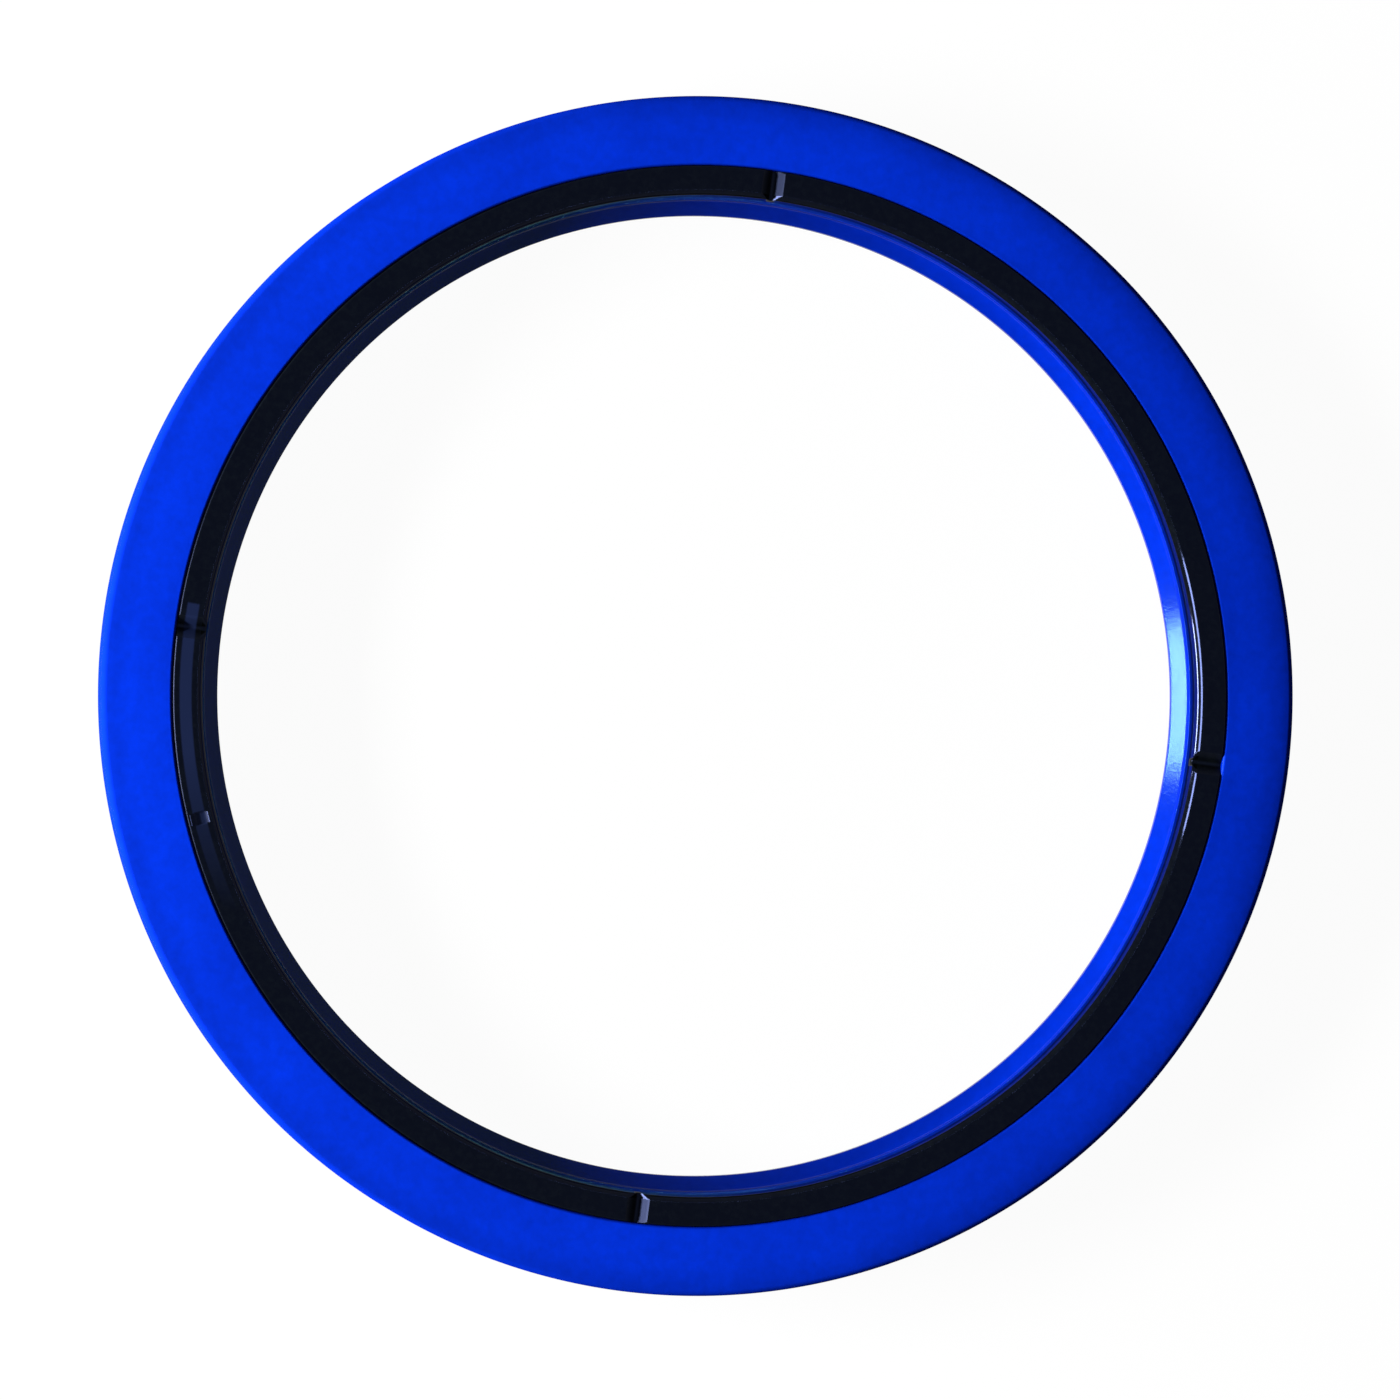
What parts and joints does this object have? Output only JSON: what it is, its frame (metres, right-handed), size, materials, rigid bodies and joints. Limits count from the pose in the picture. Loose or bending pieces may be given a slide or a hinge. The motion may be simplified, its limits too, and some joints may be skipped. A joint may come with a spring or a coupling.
{
  "type": "hydraulic rod buffer seal",
  "caption": "Blue polyurethane U-section rod seal ring with a hard black backup ring let into the inner corner of its heel.",
  "frame": {"origin": "on the seal's axis, in the plane that the outer lip rests on", "axes": "+Z along the rod axis, from the lips to the heel; +X and +Y each pass through a vent notch of the backup ring"},
  "size_m": [0.0908, 0.0908, 0.0058],
  "materials": {
    "polyurethane": "satin",
    "backup_plastic": "gloss"
  },
  "bodies": {
    "root": {"seal_body": "polyurethane", "backup_ring": "backup_plastic"}
  },
  "joints": []
}
